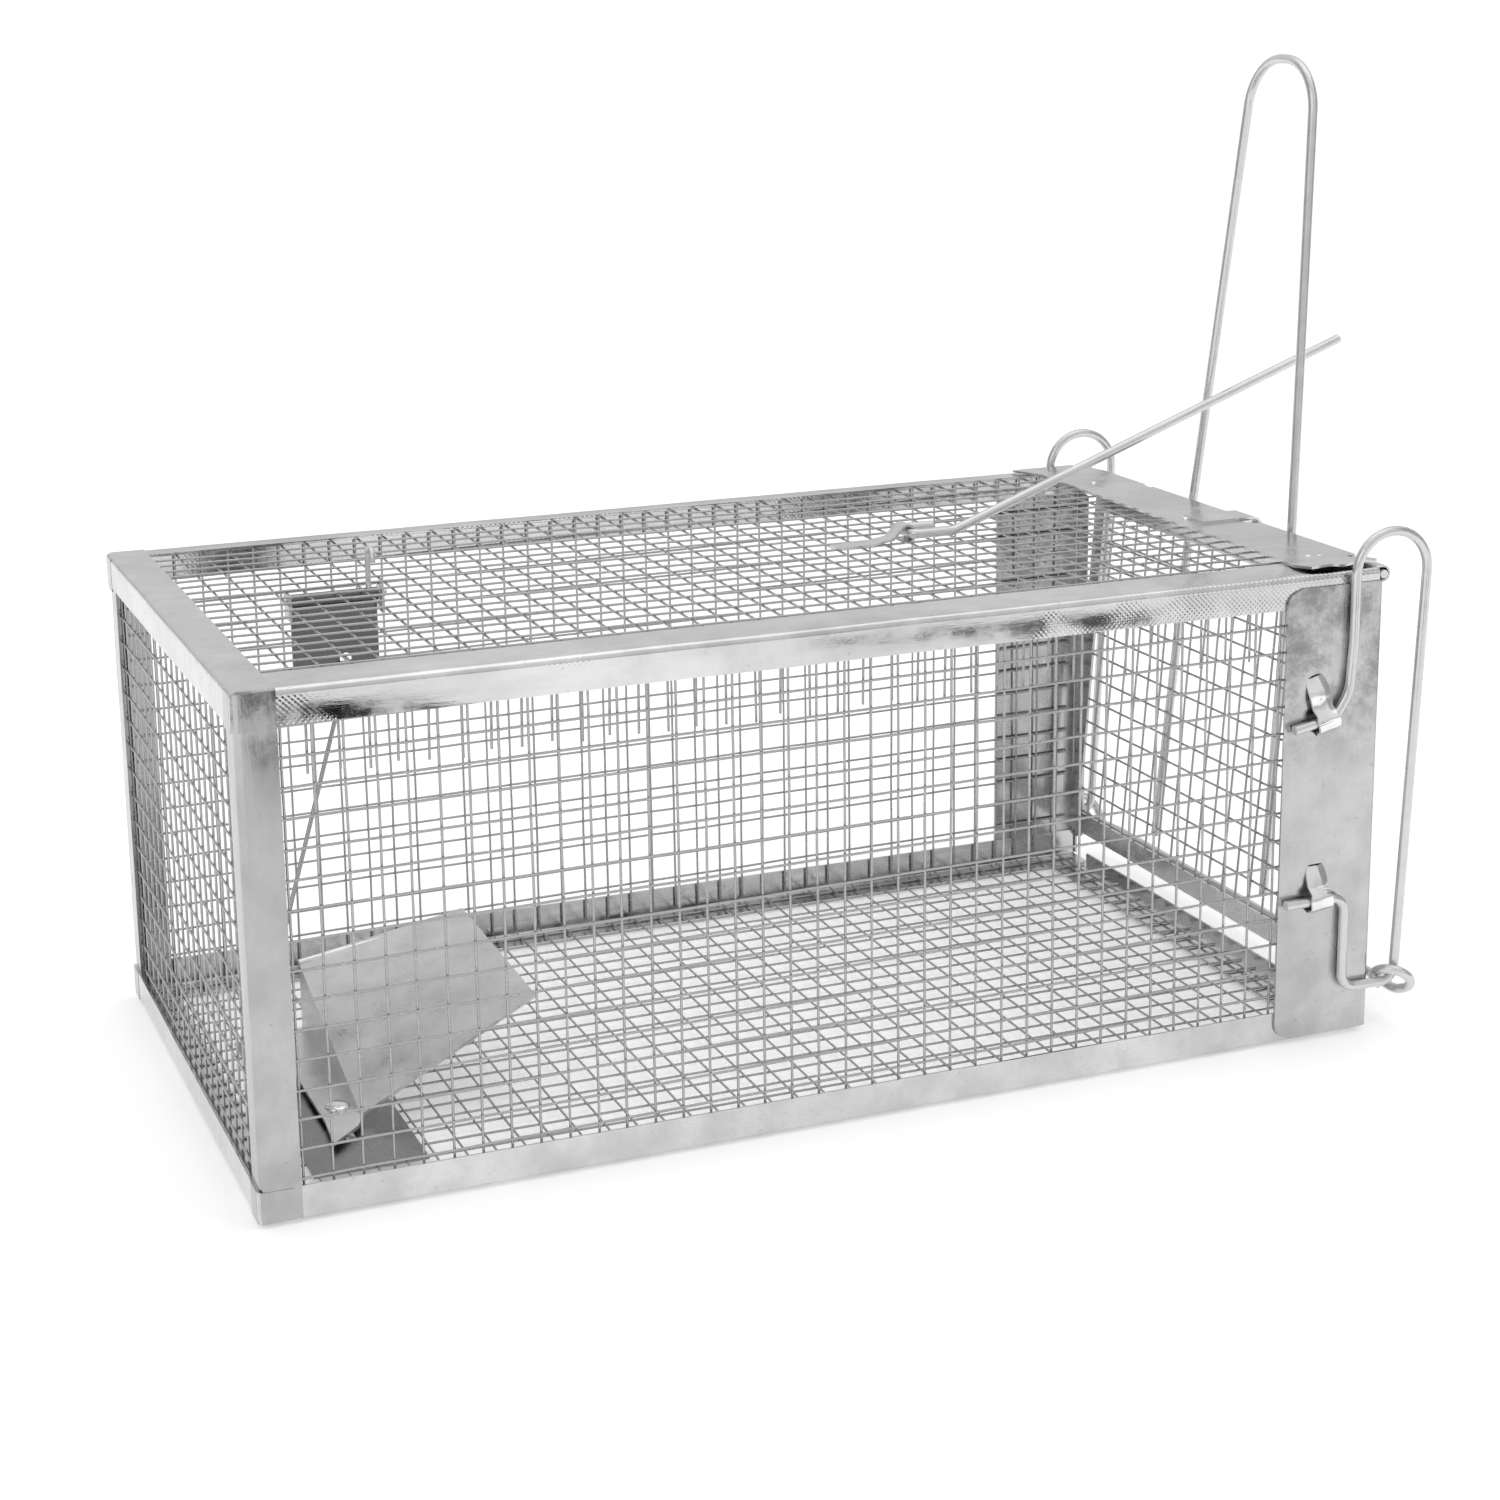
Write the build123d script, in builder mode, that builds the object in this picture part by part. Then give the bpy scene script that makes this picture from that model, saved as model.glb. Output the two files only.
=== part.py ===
from build123d import *
from math import cos, radians, sin
import os

os.makedirs("parts", exist_ok=True)

# Live catch trap: a welded-mesh box with sheet-metal edges and a drop door at its +X end.
# X runs along the box from the rear to the door, Y across it and Z up. All sizes are in millimetres.
# Every piece is drawn about the point on the ground under the middle of the box, and is then
# moved so that the origin is in the middle of the door sill's underside.

# ---- driving dimensions: box ----
BOX_LENGTH = 264.0
BOX_WIDTH = 143.0
BOX_HEIGHT = 112.0
SHEET = 0.6
MESH_WIRE = 0.7
MESH_PITCH = 12.7
MESH_MARGIN = 2.0
EDGE_LEG = 7.7
FRONT_TOP_LEG = 13.0
BACK_TOP_LEG = 7.0
FLOOR_LEG = 9.0
CORNER = 9.2
WIRE = 2.3

HALF_L = BOX_LENGTH / 2
HALF_W = BOX_WIDTH / 2
INNER_WIDTH = BOX_WIDTH - 2 * (SHEET + MESH_WIRE)
PANEL_LENGTH = BOX_LENGTH - 4 * SHEET
PANEL_HEIGHT = BOX_HEIGHT - 2 * SHEET
FLOOR_TOP = SHEET + MESH_WIRE

# ---- door end ----
JAMB_WIDTH = 25.5
JAMB_FOOT = 1.0
JAMB_TOP = 109.0
JAMB_RETURN = 4.5
SILL_DEPTH = 12.0
SILL_LIP = 3.0
SILL_MIDDLE = HALF_L - SILL_DEPTH / 2
END_PLATE_WIDTH = 19.0
HINGE_X = HALF_L + 1.6
HINGE_Z = BOX_HEIGHT - 2.0
PIN_RADIUS = 1.0
FRAME_KNUCKLE = 2.1
DOOR_KNUCKLE = 1.7
RUNNING_FIT = 0.05
FRAME_KNUCKLE_Y = 64.0
DOOR_KNUCKLE_Y = 46.0
KNUCKLE_LENGTH = 8.0
DOOR_KNUCKLE_LENGTH = 14.0
STRAP_Y = -10.0
STRAP_WIDTH = 9.0
STRAP_CURL = 3.2

# ---- door, in its own plane: outward from the hinge line, and down from it ----
DOOR_TILT = 4.4
DOOR_HALF = 66.0
DOOR_START = 3.6
DOOR_REACH = 99.3
DOOR_RAIL = 5.5
DOOR_STILE = 5.0
RAIL_OUT = 1.5
RAIL_SHEET = 0.7
MESH_OUT = RAIL_OUT + RAIL_SHEET
BAIL_OUT = MESH_OUT + MESH_WIRE + 0.05 + WIRE / 2
BAIL_Y = -2.5
BAIL_TOP_HALF = 13.3
BAIL_HINGE_HALF = 23.2
BAIL_FOOT_HALF = 26.5
BAIL_TOP = 114.0
BAIL_FOOT = 90.0

# ---- guide wires beside the door, and the lock bar that runs down them ----
GUIDE_Y = HALF_W + SHEET + WIRE / 2 + 0.05
GUIDE_STUB_X = HALF_L - 24.0
GUIDE_INNER_X = HALF_L - 7.8
GUIDE_CREST_X = HALF_L + 11.7
GUIDE_FOOT_X = HALF_L + 6.6
GUIDE_CREST_Z = 120.6
GUIDE_FOOT_Z = 12.0
UPPER_TAB_Z = 78.0
LOWER_TAB_Z = 34.5
TAB_X = HALF_L - 15.2
TAB_WIDTH = 7.5
TAB_SHEET = 0.7
STUB_BEND = 3.5
CREST_BEND = 9.4
FOOT_BEND = 3.5
EYE_RADIUS = 4.35
EYE_TILT = 51.0
EYE_YAW = 45.0
EYE_START = 405
EYE_SWEEP = 295
BAR_STRAIGHT = 61.0
EYE_DROP = 1.3

# ---- latch rod on the roof ----
ROD_X = 48.0
ROD_Z = BOX_HEIGHT + 1.6
ROD_Y = 0.5
ROD_CROSS = 8.0
ROD_TAIL = 9.0
ROD_FLAT = 11.0
ROD_LENGTH = 119.0
ROD_RISE = 19.0
ROD_SKEW = 7.0
ROD_STRAP_WIDTH = 5.0
ROD_STRAP_LENGTH = 18.0

# ---- trigger plate and hook under the roof ----
TRIGGER_X = -90.2
TRIGGER_Y = 14.5
TRIGGER_Z = BOX_HEIGHT - 3.2
TRIGGER_WIDTH = 20.0
TRIGGER_DROP = 27.0
TRIGGER_PIN = 0.8
TRIGGER_KNUCKLE = 1.5
TRIGGER_HOLE = 1.4
LINK_HOLE_X = -88.0
LINK_HOLE_Z = 94.0
HOOK_X = -82.2
HOOK_WIRE = 1.3
HOOK_SPAN = 4.8
HOOK_TOP = 119.8
ROOF_OPENING = 2 * MESH_PITCH - MESH_WIRE

# ---- treadle on the floor near the rear ----
TREADLE_AXIS_X = -105.0
TREADLE_BEND_X = -101.0
TREADLE_REAR_X = -109.0
TREADLE_Z = 3.0
TREADLE_LENGTH = 46.0
TREADLE_SLOPE = 28.0
TREADLE_NEAR = -33.0
TREADLE_FAR = 22.5
TREADLE_SHEET = 0.8
TREADLE_POINT = (-110.0, -45.5)
TREADLE_HEEL = (-103.0, -38.5)
HEEL_FAR_RISE = 16.0
TOE_FAR_RISE = 1.6
LIP_WIDTH = 2.0
TONGUES_Y = (-39.0, 14.5)
TONGUE_WIDTH = 5.0
BASE_X = (-117.0, -92.0)
BASE_Y = (-56.0, 24.0)
ARM_Y = -8.0
ARM_WIDTH = 6.0
ARM_REACH = 10.0
ARM_RISE = 8.0
LINK_WIRE = 1.0


def save(part, name):
    """Move one finished piece to the part's origin, label it and write it under its own name."""
    placed = part.moved(Location((-SILL_MIDDLE, 0, 0)))
    placed.label = name
    export_step(placed, f"parts/{name}.step")


def angle_outline(corner, across, up):
    """The outline of an L of sheet, from its outer corner; signs point its legs."""
    x, y = corner
    thick_x = SHEET if across > 0 else -SHEET
    thick_y = SHEET if up > 0 else -SHEET
    return (
        (x, y), (x + across, y), (x + across, y + thick_y),
        (x + thick_x, y + thick_y), (x + thick_x, y + up), (x, y + up),
    )


def bent_wire(plane, points, radius, diameter=WIRE):
    """A round wire along straight runs in one plane, bent to a radius at each inner point."""
    with BuildPart() as wire:
        with BuildLine(plane) as route:
            FilletPolyline(*points, radius=radius)
        path = route.wires()[0]
        with BuildSketch(Plane(origin=path @ 0, z_dir=path % 0)):
            Circle(diameter / 2)
        sweep(path=path)
    return wire.part


def mesh_sketch(length, height):
    """A welded mesh sheet in the open sketch: square openings between equal wires."""
    Rectangle(length, height)
    across = int((length - 2 * MESH_MARGIN) // MESH_PITCH)
    along = int((height - 2 * MESH_MARGIN) // MESH_PITCH)
    opening = MESH_PITCH - MESH_WIRE
    with GridLocations(MESH_PITCH, MESH_PITCH, across, along):
        Rectangle(opening, opening, mode=Mode.SUBTRACT)


# ---- welded mesh panels ----
for name, side in (("front_mesh", -1), ("back_mesh", 1)):
    panel_y = side * (HALF_W - SHEET)
    with BuildPart() as side_mesh:
        with BuildSketch(Plane((0, panel_y, BOX_HEIGHT / 2), x_dir=(1, 0, 0), z_dir=(0, -side, 0))):
            mesh_sketch(PANEL_LENGTH, PANEL_HEIGHT)
        extrude(amount=MESH_WIRE)
    save(side_mesh.part, name)

with BuildPart() as top_mesh:
    with BuildSketch(Plane.XY.offset(BOX_HEIGHT - FLOOR_TOP)):
        mesh_sketch(PANEL_LENGTH, INNER_WIDTH)
        with Locations((HOOK_X, TRIGGER_Y - HOOK_SPAN / 2)):
            Rectangle(ROOF_OPENING, ROOF_OPENING, mode=Mode.SUBTRACT)
    extrude(amount=MESH_WIRE)
save(top_mesh.part, "top_mesh")

with BuildPart() as floor_mesh:
    with BuildSketch(Plane.XY.offset(SHEET)):
        mesh_sketch(PANEL_LENGTH, INNER_WIDTH)
        for tongue_y in TONGUES_Y:
            with Locations((TREADLE_AXIS_X, tongue_y)):
                Rectangle(6, TONGUE_WIDTH + 4, mode=Mode.SUBTRACT)
    extrude(amount=MESH_WIRE)
save(floor_mesh.part, "floor_mesh")

REAR_PANEL_X = -HALF_L + 2 * SHEET
with BuildPart() as rear_mesh:
    with BuildSketch(Plane.YZ.offset(REAR_PANEL_X)):
        with Locations((0, BOX_HEIGHT / 2)):
            mesh_sketch(INNER_WIDTH, PANEL_HEIGHT - 2 * MESH_WIRE)
    extrude(amount=MESH_WIRE)
save(rear_mesh.part, "rear_mesh")

# ---- sheet edge rails, rear strips and rear corner posts ----
for name, side, top_leg in (("front", -1, FRONT_TOP_LEG), ("back", 1, BACK_TOP_LEG)):
    edge = side * HALF_W
    rail_start = -HALF_L + CORNER
    with BuildPart() as top_rail:
        with BuildSketch(Plane.YZ.offset(rail_start)):
            with BuildLine():
                Polyline(*angle_outline((edge, BOX_HEIGHT), -side * top_leg, -EDGE_LEG), close=True)
            make_face()
        extrude(amount=BOX_LENGTH - CORNER)
    save(top_rail.part, f"{name}_top_rail")

    with BuildPart() as bottom_rail:
        with BuildSketch(Plane.YZ.offset(rail_start)):
            with BuildLine():
                Polyline(*angle_outline((edge, 0), -side * FLOOR_LEG, EDGE_LEG), close=True)
            make_face()
        extrude(amount=BOX_LENGTH - CORNER)
    save(bottom_rail.part, f"{name}_bottom_rail")

    with BuildPart() as post:
        with BuildSketch(Plane.XY.offset(SHEET)):
            with BuildLine():
                Polyline(*angle_outline((-HALF_L + SHEET, edge), CORNER - SHEET, -side * EDGE_LEG), close=True)
            make_face()
        extrude(amount=PANEL_HEIGHT)
    save(post.part, f"{name}_rear_post")

for name, height, direction in (("rear_top_strip", BOX_HEIGHT, -1), ("rear_bottom_strip", 0, 1)):
    with BuildPart() as strip:
        with BuildSketch(Plane.XZ):
            with BuildLine():
                Polyline(*angle_outline((-HALF_L, height), CORNER, direction * EDGE_LEG), close=True)
            make_face()
        extrude(amount=HALF_W, both=True)
    save(strip.part, name)

with BuildPart() as door_sill:
    with BuildSketch(Plane.XZ):
        with BuildLine():
            Polyline(*angle_outline((HALF_L, 0), -SILL_DEPTH, SILL_LIP), close=True)
        make_face()
    extrude(amount=HALF_W - FLOOR_LEG, both=True)
save(door_sill.part, "door_sill")

# ---- jamb plates with their lanced tabs, and the guide wires that the tabs hold ----
for name, side in (("front", -1), ("back", 1)):
    skin = side * HALF_W
    with BuildPart() as jamb:
        with BuildSketch(Plane((0, skin, 0), x_dir=(1, 0, 0), z_dir=(0, side, 0))):
            plate_height = JAMB_TOP - JAMB_FOOT
            with Locations((HALF_L + SHEET - JAMB_WIDTH / 2, side * -1 * (JAMB_FOOT + plate_height / 2))):
                plate = Rectangle(JAMB_WIDTH, plate_height)
            fillet(plate.vertices().group_by(Axis.X)[0], radius=4)
        extrude(amount=SHEET)
        with BuildSketch(Plane.YZ.offset(HALF_L)):
            with Locations((side * (HALF_W - JAMB_RETURN / 2), BOX_HEIGHT / 2)):
                Rectangle(JAMB_RETURN, plate_height - 2 * EDGE_LEG)
        extrude(amount=SHEET)
        for tab_z in (UPPER_TAB_Z, LOWER_TAB_Z):
            tab_depth = WIRE + 0.05 + TAB_SHEET
            with BuildSketch(Plane.YZ.offset(TAB_X - TAB_WIDTH / 2)):
                with Locations((side * (HALF_W + SHEET + tab_depth / 2), tab_z)):
                    Rectangle(tab_depth, WIRE + 2 * TAB_SHEET + 0.8)
                with Locations((side * GUIDE_Y, tab_z)):
                    Circle(WIRE / 2 + RUNNING_FIT, mode=Mode.SUBTRACT)
            extrude(amount=TAB_WIDTH)
    save(jamb.part, f"{name}_jamb_plate")

    guide_plane = Plane((0, side * GUIDE_Y, 0), x_dir=(1, 0, 0), z_dir=(0, -1, 0))
    guide_points = [
        (GUIDE_STUB_X, UPPER_TAB_Z), (GUIDE_INNER_X, UPPER_TAB_Z),
        (GUIDE_INNER_X, GUIDE_CREST_Z), (GUIDE_CREST_X, GUIDE_CREST_Z),
        (GUIDE_FOOT_X, GUIDE_FOOT_Z), (GUIDE_INNER_X, GUIDE_FOOT_Z),
        (GUIDE_INNER_X, LOWER_TAB_Z), (GUIDE_STUB_X, LOWER_TAB_Z),
    ]
    guide_bends = [STUB_BEND, CREST_BEND, CREST_BEND, FOOT_BEND, STUB_BEND, STUB_BEND]
    save(bent_wire(guide_plane, guide_points, guide_bends), f"{name}_guide_wire")

# ---- top end plate with its frame knuckles, hinge strap and hinge pin ----
HINGE_LINE = Plane((HINGE_X, 0, HINGE_Z), x_dir=(1, 0, 0), z_dir=(0, -1, 0))

with BuildPart() as top_end_plate:
    plate_edge = HINGE_X - 0.3
    with BuildSketch(Plane.XY.offset(BOX_HEIGHT)):
        with Locations((plate_edge - END_PLATE_WIDTH / 2, 0)):
            plate = Rectangle(END_PLATE_WIDTH, 2 * (HALF_W - 1))
        fillet(plate.vertices().group_by(Axis.X)[0], radius=3)
    extrude(amount=SHEET)
    for side in (-1, 1):
        knuckle_plane = HINGE_LINE.offset(side * FRAME_KNUCKLE_Y - KNUCKLE_LENGTH / 2)
        with BuildSketch(knuckle_plane):
            Circle(FRAME_KNUCKLE)
            Circle(PIN_RADIUS, mode=Mode.SUBTRACT)
        extrude(amount=KNUCKLE_LENGTH)
save(top_end_plate.part, "top_end_plate")

with BuildPart() as hinge_strap:
    strap_plane = HINGE_LINE.offset(-STRAP_Y - STRAP_WIDTH / 2)
    strap_run = END_PLATE_WIDTH - 5
    strap_top = BOX_HEIGHT + 2 * SHEET - HINGE_Z
    with BuildSketch(strap_plane):
        Circle(STRAP_CURL)
        Circle(STRAP_CURL - SHEET, mode=Mode.SUBTRACT)
        with Locations((0, -STRAP_CURL)):
            Rectangle(2 * STRAP_CURL, 2 * STRAP_CURL, align=(Align.MAX, Align.MIN), mode=Mode.SUBTRACT)
        with Locations((0, strap_top - SHEET / 2)):
            Rectangle(strap_run, SHEET, align=(Align.MAX, Align.CENTER))
    extrude(amount=STRAP_WIDTH)
save(hinge_strap.part, "hinge_strap")

with BuildPart() as hinge_pin:
    with BuildSketch(HINGE_LINE):
        Circle(PIN_RADIUS)
    extrude(amount=HALF_W - 1, both=True)
save(hinge_pin.part, "hinge_pin")

# ---- door: mesh, sheet rails and stiles, and the bail wire that opens it ----
tilt = radians(DOOR_TILT)
DOOR_FACE = Plane((HINGE_X, 0, HINGE_Z), x_dir=(0, 1, 0), z_dir=(cos(tilt), 0, -sin(tilt)))

with BuildPart() as door_mesh:
    with BuildSketch(DOOR_FACE.offset(MESH_OUT)):
        with Locations((0, -(DOOR_START + DOOR_REACH) / 2)):
            mesh_sketch(2 * DOOR_HALF, DOOR_REACH - DOOR_START)
    extrude(amount=MESH_WIRE)
save(door_mesh.part, "door_mesh")

with BuildPart() as door_top_rail:
    with BuildSketch(DOOR_FACE.offset(RAIL_OUT)):
        with Locations((0, -DOOR_START - DOOR_RAIL / 2)):
            Rectangle(2 * DOOR_HALF, DOOR_RAIL)
        for side in (-1, 1):
            with Locations((side * DOOR_KNUCKLE_Y, -DOOR_START / 2)):
                Rectangle(DOOR_KNUCKLE_LENGTH, DOOR_START)
    extrude(amount=RAIL_SHEET)
    for side in (-1, 1):
        with BuildSketch(HINGE_LINE.offset(side * DOOR_KNUCKLE_Y - DOOR_KNUCKLE_LENGTH / 2)):
            Circle(DOOR_KNUCKLE)
        extrude(amount=DOOR_KNUCKLE_LENGTH)
    with BuildSketch(HINGE_LINE):
        Circle(PIN_RADIUS + RUNNING_FIT)
    extrude(amount=HALF_W, both=True, mode=Mode.SUBTRACT)
save(door_top_rail.part, "door_top_rail")

with BuildPart() as door_bottom_rail:
    with BuildSketch(DOOR_FACE.offset(RAIL_OUT)):
        with Locations((0, -DOOR_REACH + DOOR_RAIL / 2)):
            Rectangle(2 * DOOR_HALF, DOOR_RAIL)
    extrude(amount=RAIL_SHEET)
save(door_bottom_rail.part, "door_bottom_rail")

for name, side in (("door_front_stile", -1), ("door_back_stile", 1)):
    stile_height = DOOR_REACH - DOOR_START - 2 * DOOR_RAIL
    with BuildPart() as stile:
        with BuildSketch(DOOR_FACE.offset(RAIL_OUT)):
            with Locations((side * (DOOR_HALF - DOOR_STILE / 2), -(DOOR_START + DOOR_REACH) / 2)):
                Rectangle(DOOR_STILE, stile_height)
        extrude(amount=RAIL_SHEET)
    save(stile.part, name)

bail_points = [
    (BAIL_Y - BAIL_FOOT_HALF, -BAIL_FOOT), (BAIL_Y - BAIL_HINGE_HALF, 0),
    (BAIL_Y - BAIL_TOP_HALF, BAIL_TOP), (BAIL_Y + BAIL_TOP_HALF, BAIL_TOP),
    (BAIL_Y + BAIL_HINGE_HALF, 0), (BAIL_Y + BAIL_FOOT_HALF, -BAIL_FOOT),
]
save(bent_wire(DOOR_FACE.offset(BAIL_OUT), bail_points, [40.0, 13.2, 13.2, 40.0]), "bail")

# ---- lock bar: one wire across the door with an eye round each guide wire ----
eye_tilt = radians(EYE_TILT)
eye_yaw = radians(EYE_YAW)
bend_share = FOOT_BEND * (1 - sin(radians(45)))
EYE_X = GUIDE_FOOT_X - bend_share + EYE_DROP * sin(radians(40))
EYE_Z = GUIDE_FOOT_Z + bend_share - EYE_DROP * cos(radians(40))
BAR_X = EYE_X + 2.8
BAR_Z = EYE_Z - 3.3
with BuildPart() as lock_bar:
    for side in (-1, 1):
        flat_reach = sin(eye_tilt)
        eye_plane = Plane(
            (EYE_X, side * GUIDE_Y, EYE_Z),
            x_dir=(-sin(eye_yaw), -side * cos(eye_yaw), 0),
            z_dir=(flat_reach * cos(eye_yaw), -side * flat_reach * sin(eye_yaw), cos(eye_tilt)),
        )
        with BuildLine(eye_plane) as eye:
            CenterArc((0, 0), EYE_RADIUS, side * EYE_START, -side * EYE_SWEEP)
        ring = eye.edges()[0]
        shoulder = (BAR_X, side * BAR_STRAIGHT, BAR_Z)
        with BuildLine() as route:
            add(ring)
            Spline(ring @ 1, shoulder, tangents=(ring % 1, (0, -side, 0)))
            Line(shoulder, (BAR_X, 0, BAR_Z))
        with BuildSketch(Plane(origin=ring @ 0, z_dir=ring % 0)):
            Circle(WIRE / 2)
        sweep(path=route.wires()[0])
save(lock_bar.part, "lock_bar")

# ---- latch rod and the strap that holds it on the roof ----
rise = radians(ROD_RISE)
rod_points = [
    (ROD_X + ROD_TAIL, ROD_Y + ROD_CROSS, ROD_Z), (ROD_X, ROD_Y + ROD_CROSS, ROD_Z),
    (ROD_X, ROD_Y, ROD_Z), (ROD_X + ROD_FLAT, ROD_Y, ROD_Z),
    (ROD_X + ROD_FLAT + ROD_LENGTH * cos(rise), ROD_Y + ROD_SKEW, ROD_Z + ROD_LENGTH * sin(rise)),
]
save(bent_wire(Plane.XY, rod_points, [1.8, 1.8, 6.0]), "latch_rod")

with BuildPart() as rod_strap:
    strap_y = ROD_Y + ROD_CROSS / 2
    strap_inner = WIRE / 2 + RUNNING_FIT
    strap_floor = BOX_HEIGHT - SHEET
    with BuildSketch(Plane((ROD_X, strap_y, ROD_Z), x_dir=(1, 0, 0), z_dir=(0, -1, 0))):
        Circle(strap_inner + SHEET)
        with Locations((0, strap_floor - ROD_Z)):
            Rectangle(ROD_STRAP_LENGTH, SHEET, align=(Align.MAX, Align.MIN))
        Circle(strap_inner, mode=Mode.SUBTRACT)
    extrude(amount=ROD_STRAP_WIDTH / 2, both=True)
save(rod_strap.part, "rod_strap")

# ---- trigger: hanger lugs and pin on the roof, plate and hook that swing ----
with BuildPart() as trigger_hanger:
    lug_outer = TRIGGER_WIDTH / 2 + 0.4
    for side in (-1, 1):
        lug_x = TRIGGER_X + side * lug_outer - (SHEET if side < 0 else 0)
        with BuildSketch(Plane.YZ.offset(lug_x)):
            with Locations((TRIGGER_Y, BOX_HEIGHT - FLOOR_TOP)):
                Rectangle(5, 6, align=(Align.CENTER, Align.MAX))
            with Locations((TRIGGER_Y, TRIGGER_Z)):
                Circle(TRIGGER_PIN, mode=Mode.SUBTRACT)
        extrude(amount=SHEET)
save(trigger_hanger.part, "trigger_hanger")

with BuildPart() as trigger_pin:
    with BuildSketch(Plane((TRIGGER_X, TRIGGER_Y, TRIGGER_Z), x_dir=(0, 1, 0), z_dir=(1, 0, 0))):
        Circle(TRIGGER_PIN)
    extrude(amount=TRIGGER_WIDTH / 2 + 2, both=True)
save(trigger_pin.part, "trigger_pin")

with BuildPart() as trigger_plate:
    with BuildSketch(Plane((TRIGGER_X, TRIGGER_Y, TRIGGER_Z), x_dir=(0, 1, 0), z_dir=(1, 0, 0))):
        Circle(TRIGGER_KNUCKLE)
        with Locations((TRIGGER_KNUCKLE - SHEET / 2, 0)):
            Rectangle(SHEET, TRIGGER_DROP, align=(Align.CENTER, Align.MAX))
        Circle(TRIGGER_PIN + RUNNING_FIT, mode=Mode.SUBTRACT)
    extrude(amount=TRIGGER_WIDTH / 2, both=True)
    with BuildSketch(Plane((LINK_HOLE_X, TRIGGER_Y, LINK_HOLE_Z), x_dir=(1, 0, 0), z_dir=(0, -1, 0))):
        Circle(TRIGGER_HOLE)
    extrude(amount=TRIGGER_KNUCKLE + 1, both=True, mode=Mode.SUBTRACT)
save(trigger_plate.part, "trigger_plate")

hook_foot = TRIGGER_Z + TRIGGER_KNUCKLE
hook_plane = Plane((HOOK_X, 0, 0), x_dir=(0, 1, 0), z_dir=(1, 0, 0))
hook_points = [
    (TRIGGER_Y, hook_foot), (TRIGGER_Y, HOOK_TOP),
    (TRIGGER_Y - HOOK_SPAN, HOOK_TOP), (TRIGGER_Y - HOOK_SPAN, HOOK_TOP - HOOK_SPAN / 2 - 0.3),
]
save(bent_wire(hook_plane, hook_points, HOOK_SPAN / 2 - 0.05, HOOK_WIRE), "trigger_hook")

# ---- treadle: floor base plate, tilting plate with two tongues, and the link wire ----
with BuildPart() as treadle_base:
    with BuildSketch(Plane.XY.offset(FLOOR_TOP)):
        with Locations((sum(BASE_X) / 2, sum(BASE_Y) / 2)):
            Rectangle(BASE_X[1] - BASE_X[0], BASE_Y[1] - BASE_Y[0])
        for tongue_y in TONGUES_Y:
            with Locations((TREADLE_AXIS_X, tongue_y)):
                Rectangle(TREADLE_SHEET + 1.4, TONGUE_WIDTH + 1.2, mode=Mode.SUBTRACT)
    extrude(amount=SHEET)
save(treadle_base.part, "treadle_base")

slope = radians(TREADLE_SLOPE)
toe_x = TREADLE_BEND_X + TREADLE_LENGTH * cos(slope)
toe_z = TREADLE_Z + TREADLE_LENGTH * sin(slope)
heel_far_z = TREADLE_Z + HEEL_FAR_RISE
toe_far_z = toe_z + TOE_FAR_RISE
with BuildPart() as treadle_plate:
    for edge_y, heel_z, end_z in ((TREADLE_NEAR, TREADLE_Z, toe_z), (TREADLE_FAR, heel_far_z, toe_far_z)):
        with BuildSketch(Plane.XZ.offset(-edge_y)):
            with BuildLine():
                Polyline(
                    (TREADLE_BEND_X, heel_z), (toe_x, end_z),
                    (toe_x, end_z + TREADLE_SHEET), (TREADLE_BEND_X, heel_z + TREADLE_SHEET),
                    close=True,
                )
            make_face()
    loft()
    with BuildSketch(Plane.YZ.offset(TREADLE_BEND_X)):
        with BuildLine():
            Polyline(
                (TREADLE_NEAR, TREADLE_Z), (TREADLE_FAR, TREADLE_Z),
                (TREADLE_FAR, heel_far_z + TREADLE_SHEET), (TREADLE_NEAR, TREADLE_Z + TREADLE_SHEET),
                close=True,
            )
        make_face()
    extrude(amount=TREADLE_SHEET)
    with BuildSketch(Plane.XY.offset(TREADLE_Z)):
        with BuildLine():
            Polyline(
                (TREADLE_REAR_X, TREADLE_FAR), (TREADLE_REAR_X, TREADLE_NEAR), TREADLE_POINT,
                TREADLE_HEEL, (TREADLE_BEND_X + TREADLE_SHEET, TREADLE_NEAR),
                (TREADLE_BEND_X + TREADLE_SHEET, TREADLE_FAR), close=True,
            )
        make_face()
    extrude(amount=TREADLE_SHEET)
    with BuildSketch(Plane.XZ.offset(-TREADLE_FAR)):
        with BuildLine():
            Polyline(
                (TREADLE_BEND_X, heel_far_z), (toe_x, toe_far_z), (toe_x, toe_far_z + TREADLE_SHEET),
                (TREADLE_BEND_X, heel_far_z + TREADLE_SHEET), close=True,
            )
        make_face()
    extrude(amount=-LIP_WIDTH)
    with BuildSketch(Plane.XY.offset(SHEET)):
        for tongue_y in TONGUES_Y:
            with Locations((TREADLE_AXIS_X, tongue_y)):
                Rectangle(TREADLE_SHEET, TONGUE_WIDTH)
    extrude(amount=TREADLE_Z - SHEET)
    with BuildSketch(Plane.XZ.offset(-ARM_Y - ARM_WIDTH / 2)):
        with BuildLine():
            Polyline(
                (TREADLE_REAR_X, TREADLE_Z), (TREADLE_REAR_X - ARM_REACH, TREADLE_Z + ARM_RISE),
                (TREADLE_REAR_X - ARM_REACH, TREADLE_Z + ARM_RISE + TREADLE_SHEET),
                (TREADLE_REAR_X, TREADLE_Z + TREADLE_SHEET), close=True,
            )
        make_face()
    extrude(amount=ARM_WIDTH)
save(treadle_plate.part, "treadle_plate")

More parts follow.
